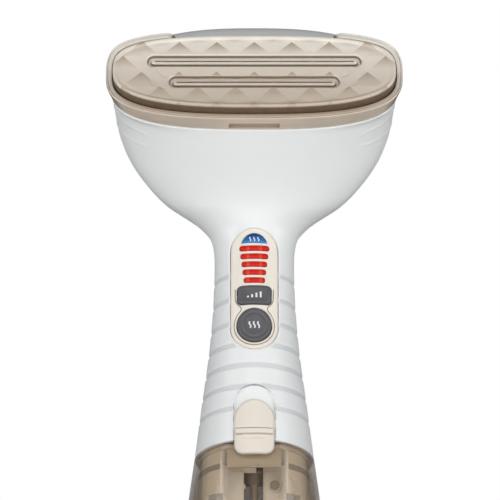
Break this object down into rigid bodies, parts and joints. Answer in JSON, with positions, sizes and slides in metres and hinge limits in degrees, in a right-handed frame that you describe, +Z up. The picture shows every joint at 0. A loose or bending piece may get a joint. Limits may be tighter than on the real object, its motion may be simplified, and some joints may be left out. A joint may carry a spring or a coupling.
{
  "type": "garment steamer",
  "caption": "Handheld garment steamer with a wide tilted steam head, a ringed grip with a lit control panel, and a removable tinted water tank that it stands on.",
  "frame": {"origin": "centre of the flat base of the water tank, on the surface that the steamer stands on", "axes": "+Z up along the grip, -Y is the front that the steam face and the controls look to, +X is the right-hand side in the front view"},
  "size_m": [0.1532, 0.1128, 0.321],
  "materials": {
    "white_shell": "smooth moulded white, glossy",
    "champagne_metal": "satin champagne metallic",
    "ceramic_plate": "pearl ceramic coating, satin",
    "cream_panel": "satin cream",
    "dark_button": "soft matte",
    "ready_blue": "translucent blue lens",
    "level_red": "translucent red light bars",
    "latch_beige": "satin beige",
    "smoke_tank": "tinted transparent plastic",
    "tank_inner": "tinted translucent plastic",
    "black_rubber": "matte",
    "silicone": "translucent silicone",
    "cast_aluminium": "cast",
    "steel": "zinc plated",
    "winding": "enamelled copper wire",
    "dark_nylon": "moulded nylon",
    "circuit_board": "solder-masked board"
  },
  "bodies": {
    "handle": {"front_housing": "white_shell", "rear_housing": "white_shell", "head_screw_left": "steel", "grip_screw_left": "steel", "head_screw_right": "steel", "grip_screw_right": "steel", "cord_inlet_gland": "black_rubber", "steam_plate": "ceramic_plate", "head_bezel": "champagne_metal", "plate_gasket": "black_rubber", "boiler_body": "cast_aluminium", "heating_element": "steel", "heat_shield": "steel", "thermostat": "dark_nylon", "thermal_fuse": "steel", "boiler_inlet": "cast_aluminium", "control_panel": "cream_panel", "ready_lens": "ready_blue", "level_bar_1": "level_red", "level_bar_2": "level_red", "level_bar_3": "level_red", "level_bar_4": "level_red", "level_bar_5": "level_red", "setting_switch": "dark_nylon", "steam_switch": "dark_nylon", "control_board": "circuit_board", "power_board": "circuit_board", "terminal_block": "dark_nylon", "pump_body": "dark_nylon", "pump_outlet": "dark_nylon", "pump_coil": "winding", "pump_frame": "steel", "pump_spring": "steel", "delivery_hose": "silicone", "fuse_lead": "black_rubber", "thermostat_lead": "black_rubber", "grip_floor": "white_shell", "docking_port": "dark_nylon", "suction_hose": "silicone", "latch_spring": "steel", "spring_stop": "dark_nylon"},
    "setting_button": {"setting_button": "dark_button"},
    "steam_button": {"steam_button": "dark_button"},
    "latch": {"tank_release_latch": "latch_beige"},
    "tank": {"water_tank": "smoke_tank", "tank_deck": "tank_inner", "inner_column": "tank_inner", "boss_plate": "tank_inner", "neck_seal": "black_rubber", "valve_spring": "steel", "valve_retainer": "tank_inner", "tube_spigot": "tank_inner", "suction_tube": "tank_inner", "suction_filter": "dark_nylon", "cap_hinge_pin": "steel"},
    "poppet": {"valve_poppet": "dark_nylon"},
    "filler_cap": {"filler_cap": "black_rubber"},
    "plunger": {"pump_plunger": "steel"}
  },
  "joints": [
    {"name": "setting_button_press", "type": "slide", "parent": "handle", "child": "setting_button", "axis": [0, 0.987, -0.1609], "range_m": [0, 0.0012], "stiffness_N_per_m": 900, "springref_m": -0.0005},
    {"name": "steam_button_press", "type": "slide", "parent": "handle", "child": "steam_button", "axis": [0, 0.987, -0.1609], "range_m": [0, 0.0012], "stiffness_N_per_m": 900, "springref_m": -0.0005},
    {"name": "tank_latch_slide", "type": "slide", "parent": "handle", "child": "latch", "axis": [0, 0.1702, 0.9854], "range_m": [0, 0.005], "stiffness_N_per_m": 300, "springref_m": -0.002, "deforming": ["latch_spring"]},
    {"name": "tank_slide", "type": "slide", "parent": "handle", "child": "tank", "axis": [0, 0, -1], "range_m": [0, 0.06]},
    {"name": "valve_poppet_lift", "type": "slide", "parent": "tank", "child": "poppet", "axis": [0, 0, 1], "range_m": [0, 0.002], "stiffness_N_per_m": 120, "springref_m": -0.0015, "deforming": ["valve_spring"]},
    {"name": "filler_cap_hinge", "type": "hinge", "parent": "tank", "child": "filler_cap", "pos_m": [0, 0.049, 0.0655], "axis": [1, 0, 0], "range_deg": [0, 115]},
    {"name": "pump_plunger_stroke", "type": "slide", "parent": "handle", "child": "plunger", "axis": [0, 0, 1], "range_m": [0, 0.0035], "stiffness_N_per_m": 350, "springref_m": -0.002, "deforming": ["pump_spring"]}
  ]
}
